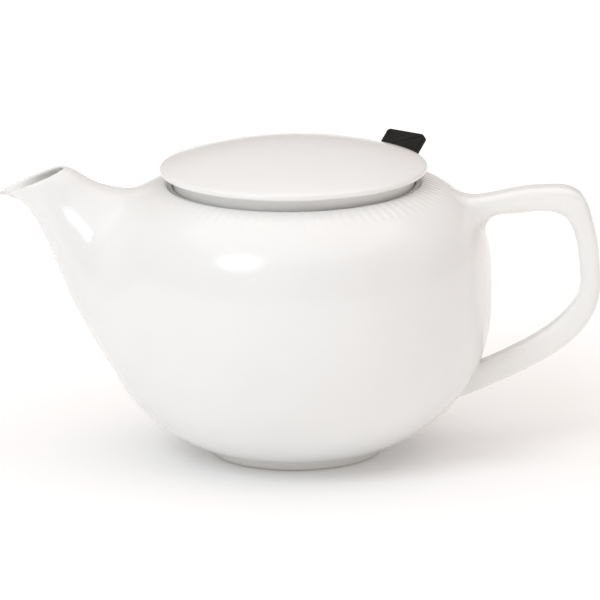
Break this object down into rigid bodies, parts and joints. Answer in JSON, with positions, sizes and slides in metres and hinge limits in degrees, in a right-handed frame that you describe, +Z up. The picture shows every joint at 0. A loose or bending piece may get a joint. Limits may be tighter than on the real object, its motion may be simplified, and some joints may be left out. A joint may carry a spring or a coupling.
{
  "type": "teapot infuser",
  "caption": "Round glazed porcelain teapot with a beak spout, angular loop handle, flat domed lid and a lift-out steel basket infuser with a silicone tab.",
  "frame": {"origin": "middle of the footprint's bounding box on the table, 1.6 mm towards the handle from the bulb's axis", "axes": "+X from the spout tip to the handle (longest extent), +Z up, +Y to the back, where the infuser's tab leans out"},
  "size_m": [0.2406, 0.1574, 0.1262],
  "materials": {
    "porcelain": "gloss white glaze",
    "steel": "satin, perforated sheet on wall and floor",
    "silicone": "matte black"
  },
  "bodies": {
    "pot": {"pot_bulb": "porcelain", "pot_spout": "porcelain", "pot_handle": "porcelain"},
    "infuser": {"infuser_collar": "steel", "infuser_wall": "steel", "infuser_floor": "steel", "infuser_floor_band": "steel", "infuser_tab_arm": "steel", "infuser_tab_grip": "silicone"},
    "lid_body": {"lid": "porcelain"}
  },
  "joints": [
    {"name": "infuser_lift", "type": "slide", "parent": "pot", "child": "infuser", "axis": [0, 0, 1], "range_m": [0, 0.09]},
    {"name": "lid_lift", "type": "slide", "parent": "infuser", "child": "lid_body", "axis": [0, 0, 1], "range_m": [0, 0.06]}
  ]
}
